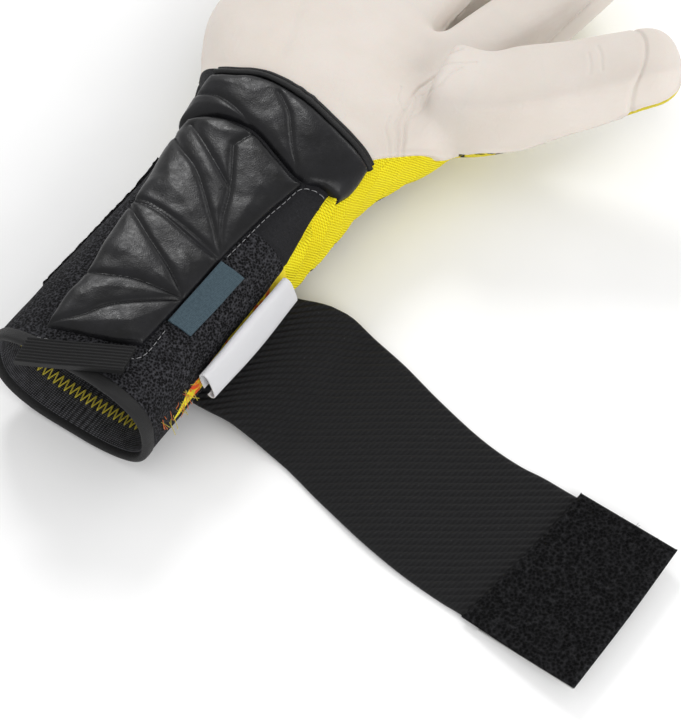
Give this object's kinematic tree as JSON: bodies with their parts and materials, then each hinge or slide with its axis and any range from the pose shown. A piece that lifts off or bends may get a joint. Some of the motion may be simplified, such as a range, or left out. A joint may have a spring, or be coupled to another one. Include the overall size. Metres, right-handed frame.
{
  "type": "goalkeeper glove",
  "caption": "Right-hand goalkeeper glove with padded wrist, long elastic cuff and wrap-round strap, lying palm up; fingers, thumb, strap and labels fold.",
  "frame": {"origin": "on the floor plane, on the underside of the raised pad in the middle of the backhand, at the wrist crease", "axes": "+Y from the cuff to the fingers, +X towards the thumb, +Z out of the palm (up, as the glove lies)"},
  "size_m": [0.3064, 0.3286, 0.0656],
  "materials": {
    "latex": "matte foam",
    "lining": "soft",
    "pad": "embossed, semi-gloss",
    "knit": "ribbed elastic",
    "neoprene": "smooth",
    "mesh": "textured mesh",
    "tpr": "matte",
    "loop": "looped pile",
    "hook": "hooked pile",
    "label_grey": "woven",
    "label_white": "satin",
    "backing": "coated"
  },
  "bodies": {
    "hand": {"palm_latex": "latex", "palm_lining": "lining", "heel_pad": "pad", "heel_binding": "neoprene", "heel_neoprene": "neoprene", "backhand_panel": "mesh", "backhand_lining": "lining", "punch_pads": "tpr", "little_side_gusset": "mesh", "thumb_side_gusset": "mesh", "thumb_collar": "latex", "cuff_knit_top": "knit", "cuff_knit_bottom": "knit", "cuff_facing": "knit", "mouth_binding": "knit", "wrist_pad": "pad", "cuff_side_strip": "mesh", "cuff_badge": "tpr", "strap_anchor": "knit", "loop_patch": "loop"},
    "index_lower": {"index_lower_latex": "latex", "index_lower_back": "mesh", "index_lower_gusset": "latex"},
    "index_tip": {"index_tip_latex": "latex", "index_tip_back": "mesh", "index_tip_gusset": "latex"},
    "middle_lower": {"middle_lower_latex": "latex", "middle_lower_back": "mesh", "middle_lower_gusset": "latex"},
    "middle_tip": {"middle_tip_latex": "latex", "middle_tip_back": "mesh", "middle_tip_gusset": "latex"},
    "ring_lower": {"ring_lower_latex": "latex", "ring_lower_back": "mesh", "ring_lower_gusset": "latex"},
    "ring_tip": {"ring_tip_latex": "latex", "ring_tip_back": "mesh", "ring_tip_gusset": "latex"},
    "little_lower": {"little_lower_latex": "latex", "little_lower_back": "mesh", "little_lower_gusset": "latex"},
    "little_tip": {"little_tip_latex": "latex", "little_tip_back": "mesh", "little_tip_gusset": "latex"},
    "thumb_lower": {"thumb_lower_latex": "latex", "thumb_lower_back": "mesh", "thumb_lower_gusset": "latex"},
    "thumb_tip": {"thumb_tip_latex": "latex", "thumb_tip_back": "mesh", "thumb_tip_gusset": "latex"},
    "strap_root": {"strap_root": "knit"},
    "strap_inner": {"strap_inner": "knit"},
    "strap_middle": {"strap_middle": "knit"},
    "strap_outer": {"strap_outer": "knit"},
    "strap_end": {"strap_end": "knit", "hook_patch": "hook", "strap_end_backing": "backing"},
    "pull_tab": {"pull_tab": "knit"},
    "side_label": {"side_label": "label_grey"},
    "care_label": {"care_label": "label_white"}
  },
  "joints": [
    {"name": "index_root", "type": "hinge", "parent": "hand", "child": "index_lower", "pos_m": [0.03453, 0.10897, 0.04], "axis": [0.9588, -0.284, 0], "range_deg": [0, 60]},
    {"name": "index_fold", "type": "hinge", "parent": "index_lower", "child": "index_tip", "pos_m": [0.04679, 0.15033, 0.04226], "axis": [0.9588, -0.284, 0], "range_deg": [0, 60]},
    {"name": "middle_root", "type": "hinge", "parent": "hand", "child": "middle_lower", "pos_m": [0.0047, 0.11477, 0.04], "axis": [0.9954, -0.0958, 0], "range_deg": [0, 60]},
    {"name": "middle_fold", "type": "hinge", "parent": "middle_lower", "child": "middle_tip", "pos_m": [0.009, 0.1595, 0.04236], "axis": [0.9954, -0.0958, 0], "range_deg": [0, 60]},
    {"name": "ring_root", "type": "hinge", "parent": "hand", "child": "ring_lower", "pos_m": [-0.0257, 0.11477, 0.04], "axis": [0.9954, 0.0958, 0], "range_deg": [0, 60]},
    {"name": "ring_fold", "type": "hinge", "parent": "ring_lower", "child": "ring_tip", "pos_m": [-0.02975, 0.15682, 0.04221], "axis": [0.9954, 0.0958, 0], "range_deg": [0, 60]},
    {"name": "little_root", "type": "hinge", "parent": "hand", "child": "little_lower", "pos_m": [-0.05553, 0.10897, 0.04], "axis": [0.9588, 0.284, 0], "range_deg": [0, 60]},
    {"name": "little_fold", "type": "hinge", "parent": "little_lower", "child": "little_tip", "pos_m": [-0.06575, 0.14344, 0.04188], "axis": [0.9588, 0.284, 0], "range_deg": [0, 60]},
    {"name": "thumb_root", "type": "hinge", "parent": "hand", "child": "thumb_lower", "pos_m": [0.054, 0.088, 0.055], "axis": [0.1736, -0.9848, 0], "range_deg": [0, 45]},
    {"name": "thumb_fold", "type": "hinge", "parent": "thumb_lower", "child": "thumb_tip", "pos_m": [0.0808, 0.10894, 0.05857], "axis": [0.6157, -0.788, 0], "range_deg": [0, 50]},
    {"name": "strap_seam_fold", "type": "hinge", "parent": "hand", "child": "strap_root", "pos_m": [0.046, -0.046, 0.01], "axis": [-0.1045, -0.9945, 0], "range_deg": [0, 103]},
    {"name": "strap_fold_1", "type": "hinge", "parent": "strap_root", "child": "strap_inner", "pos_m": [0.0685, -0.04837, 0.002], "axis": [-0.1045, -0.9945, 0], "range_deg": [0, 32]},
    {"name": "strap_fold_2", "type": "hinge", "parent": "strap_inner", "child": "strap_middle", "pos_m": [0.09933, -0.05161, 0.002], "axis": [-0.1045, -0.9945, 0], "range_deg": [0, 40]},
    {"name": "strap_fold_3", "type": "hinge", "parent": "strap_middle", "child": "strap_outer", "pos_m": [0.1411, -0.056, 0.002], "axis": [-0.1045, -0.9945, 0], "range_deg": [0, 29]},
    {"name": "strap_patch_fold", "type": "hinge", "parent": "strap_outer", "child": "strap_end", "pos_m": [0.16796, -0.05882, 0.002], "axis": [-0.1045, -0.9945, 0], "range_deg": [0, 48]},
    {"name": "pull_tab_hinge", "type": "hinge", "parent": "hand", "child": "pull_tab", "pos_m": [0, -0.1, 0.0514], "axis": [-0.8829, -0.4695, 0], "range_deg": [0, 95]},
    {"name": "side_label_hinge", "type": "hinge", "parent": "hand", "child": "side_label", "pos_m": [0.02129, -0.0545, 0.04635], "axis": [0, 1, 0], "range_deg": [-90, 0]},
    {"name": "care_label_hinge", "type": "hinge", "parent": "hand", "child": "care_label", "pos_m": [0.0394, -0.05, 0.0215], "axis": [0, -1, 0], "range_deg": [-50, 0], "stiffness_Nm_per_rad": 0.004}
  ]
}
